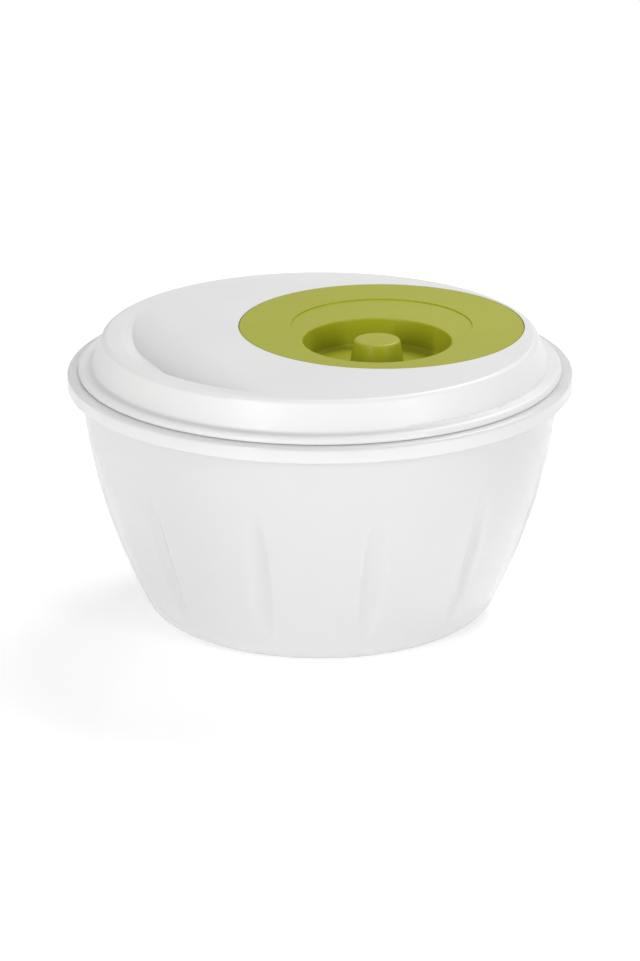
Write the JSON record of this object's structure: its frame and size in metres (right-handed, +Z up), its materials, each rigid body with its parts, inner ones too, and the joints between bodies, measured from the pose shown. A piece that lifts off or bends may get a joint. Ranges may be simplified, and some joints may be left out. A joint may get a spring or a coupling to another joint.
{
  "type": "salad spinner",
  "caption": "Salad spinner: fluted frosted bowl, slotted draining basket on a pivot, and a lid with a recessed crank disc, finger knob, gear train and toothed driver wheel",
  "frame": {"origin": "Centre of the bowl's foot, on the table", "axes": "+Z up along the axis of the bowl, basket and lid; +X from that axis towards the crank disc's axis; the lid's scoop is towards -X"},
  "size_m": [0.26, 0.26, 0.1465],
  "materials": {
    "frosted_plastic": "frosted translucent polypropylene",
    "green_plastic": "satin gloss moulded plastic, olive lime green",
    "white_plastic": "satin gloss moulded plastic, white",
    "bearing_plastic": "natural acetal, dull",
    "steel": "plain stainless steel"
  },
  "bodies": {
    "bowl": {"bowl": "frosted_plastic", "pivot_post": "steel"},
    "pivot_bush": {"basket_bush": "bearing_plastic"},
    "basket": {"basket": "green_plastic", "bush_retaining_ring": "bearing_plastic"},
    "lid": {"lid_shell": "white_plastic", "crank_bush": "bearing_plastic", "crank_glide_ring": "bearing_plastic", "gear_cover": "white_plastic", "gear_cover_screws": "steel", "driver_bush": "bearing_plastic"},
    "crank": {"crank_disc": "green_plastic", "drive_gear": "bearing_plastic", "crank_washer": "steel", "crank_screw": "steel", "knob_pin": "steel"},
    "knob": {"knob": "green_plastic", "knob_clip": "steel"},
    "driver": {"pinion": "bearing_plastic", "driver_wheel": "white_plastic", "driver_washer": "steel", "driver_screw": "steel"}
  },
  "joints": [
    {"name": "basket_lift", "type": "slide", "parent": "bowl", "child": "pivot_bush", "axis": [0, 0, 1], "range_m": [0, 0.174]},
    {"name": "basket_spin", "type": "hinge", "parent": "pivot_bush", "child": "basket", "pos_m": [0, 0, 0.017], "axis": [0, 0, 1], "continuous": true},
    {"name": "lid_lift", "type": "slide", "parent": "pivot_bush", "child": "lid", "axis": [0, 0, 1], "range_m": [0, 0.135]},
    {"name": "crank_spin", "type": "hinge", "parent": "lid", "child": "crank", "pos_m": [0.0345, 0, 0.1273], "axis": [0, 0, 1], "continuous": true},
    {"name": "driver_spin", "type": "hinge", "parent": "lid", "child": "driver", "pos_m": [0, 0, 0.1195], "axis": [0, 0, 1], "continuous": true},
    {"name": "knob_spin", "type": "hinge", "parent": "crank", "child": "knob", "pos_m": [0.02262, -0.02143, 0.138], "axis": [0, 0, 1], "continuous": true}
  ],
  "couplings": [
    {"joint": "driver_spin", "follows": "crank_spin", "ratio": -2.8333},
    {"joint": "basket_spin", "follows": "crank_spin", "ratio": -2.8333}
  ]
}
